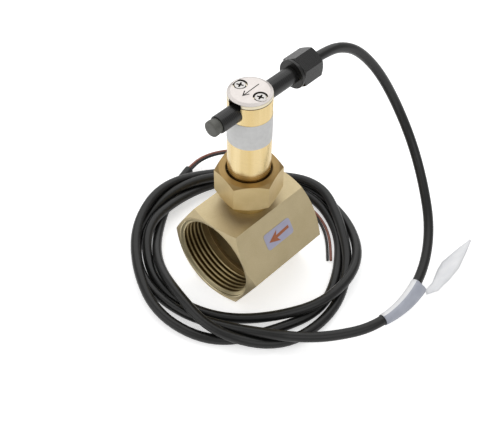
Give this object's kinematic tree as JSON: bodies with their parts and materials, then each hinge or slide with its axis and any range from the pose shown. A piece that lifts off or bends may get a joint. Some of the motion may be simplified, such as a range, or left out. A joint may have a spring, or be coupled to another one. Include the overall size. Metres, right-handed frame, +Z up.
{
  "type": "paddle flow switch",
  "caption": "Brass hexagonal flow tee with a paddle on a pivot, a cylindrical sensor housing on top and a cabled reed switch clamped across it.",
  "frame": {"origin": "on the tee's bottom flat, under the axis of the sensor housing", "axes": "+X along the flow, out of the outlet; +Z up along the sensor housing; +Y to the left of the flow"},
  "size_m": [0.1459, 0.147, 0.1088],
  "materials": {
    "brass_tumbled": "tumbled matte brass, lightly tarnished",
    "brass_bright": "bright turned brass",
    "brass_nut": "satin brass",
    "steel_silver": "satin stainless steel",
    "plated": "silver plated, lightly brushed",
    "gasket": "matte fibre and rubber seal",
    "magnet": "sintered magnet, dull grey",
    "type_plate": "satin silver foil",
    "flow_sticker": "printed film, satin",
    "reed_black": "moulded plastic, satin black",
    "resin": "cast resin, black",
    "glass": "clear glass",
    "lead_metal": "tinned wire",
    "jacket": "smooth satin black jacket",
    "core_brown": "extruded insulation, brown",
    "core_black": "extruded insulation, black",
    "film": "pale printed film",
    "blade_steel": "rolled stainless sheet"
  },
  "bodies": {
    "base": {"tee_body": "brass_tumbled", "neck_nipple": "brass_tumbled", "collar_gasket": "gasket", "union_nut": "brass_nut", "sensor_housing": "brass_bright", "return_magnet": "magnet", "pivot_pin": "steel_silver", "pivot_washers": "steel_silver", "clamp_jaws": "plated", "clamp_pad": "gasket", "cap_disc": "plated", "cap_screws": "steel_silver", "type_label": "type_plate", "flow_label": "flow_sticker"},
    "paddle": {"paddle_lever": "brass_bright", "paddle_blade": "blade_steel", "blade_rivets": "brass_bright", "magnet_cup": "brass_bright", "lever_magnet": "magnet"},
    "reed_unit": {"reed_tube": "reed_black", "end_plug": "reed_black", "reed_glass": "glass", "reed_leads": "lead_metal", "potting": "resin", "gland_collar": "reed_black", "gland_nut": "reed_black", "gland_seal": "gasket", "cable": "jacket", "cable_coil": "jacket", "cable_tail": "jacket", "core_brown": "core_brown", "core_black": "core_black", "cable_tag": "film", "cable_flag": "film"}
  },
  "joints": [
    {"name": "paddle_swing", "type": "hinge", "parent": "base", "child": "paddle", "pos_m": [0, 0, 0.048], "axis": [0, -1, 0], "range_deg": [0, 11], "stiffness_Nm_per_rad": 0.01, "springref_deg": -5.73},
    {"name": "reed_slide", "type": "slide", "parent": "base", "child": "reed_unit", "axis": [1, 0, 0], "range_m": [-0.003, 0.003]}
  ]
}
